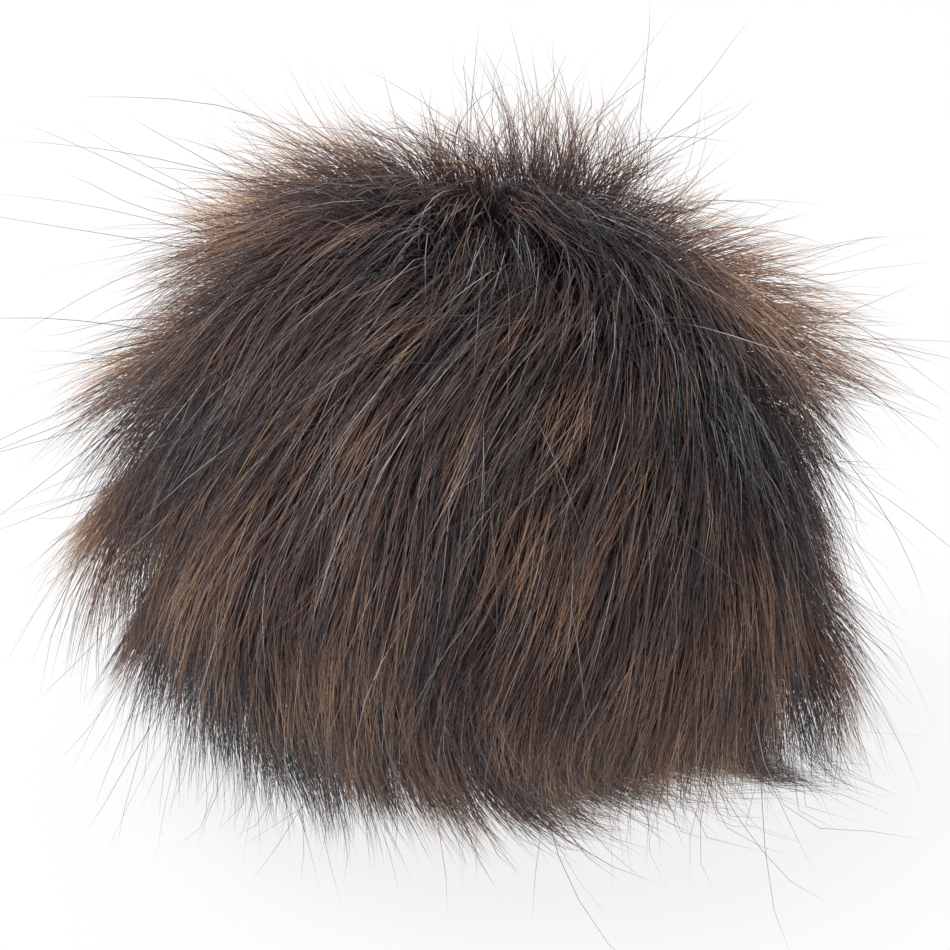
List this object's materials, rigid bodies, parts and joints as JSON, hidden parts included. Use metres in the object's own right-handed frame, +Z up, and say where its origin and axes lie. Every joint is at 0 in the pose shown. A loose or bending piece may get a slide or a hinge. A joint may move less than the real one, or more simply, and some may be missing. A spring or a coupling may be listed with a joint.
{
  "type": "pom pom",
  "caption": "Round dark brown faux fur pom pom with long, soft pile in tapered locks combed down from its crown, lying on a small flat spot.",
  "frame": {"origin": "centre of the fur's box in X and Y, on the floor that its flat spot rests on", "axes": "+Z up, +X to the viewer's right in the picture, +Y away from the viewer"},
  "size_m": [0.1108, 0.106, 0.0895],
  "materials": {
    "fur": "long soft pile, dark brown with lighter brown under-fur and charcoal tips"
  },
  "bodies": {
    "root": {"fur": "fur"}
  },
  "joints": []
}
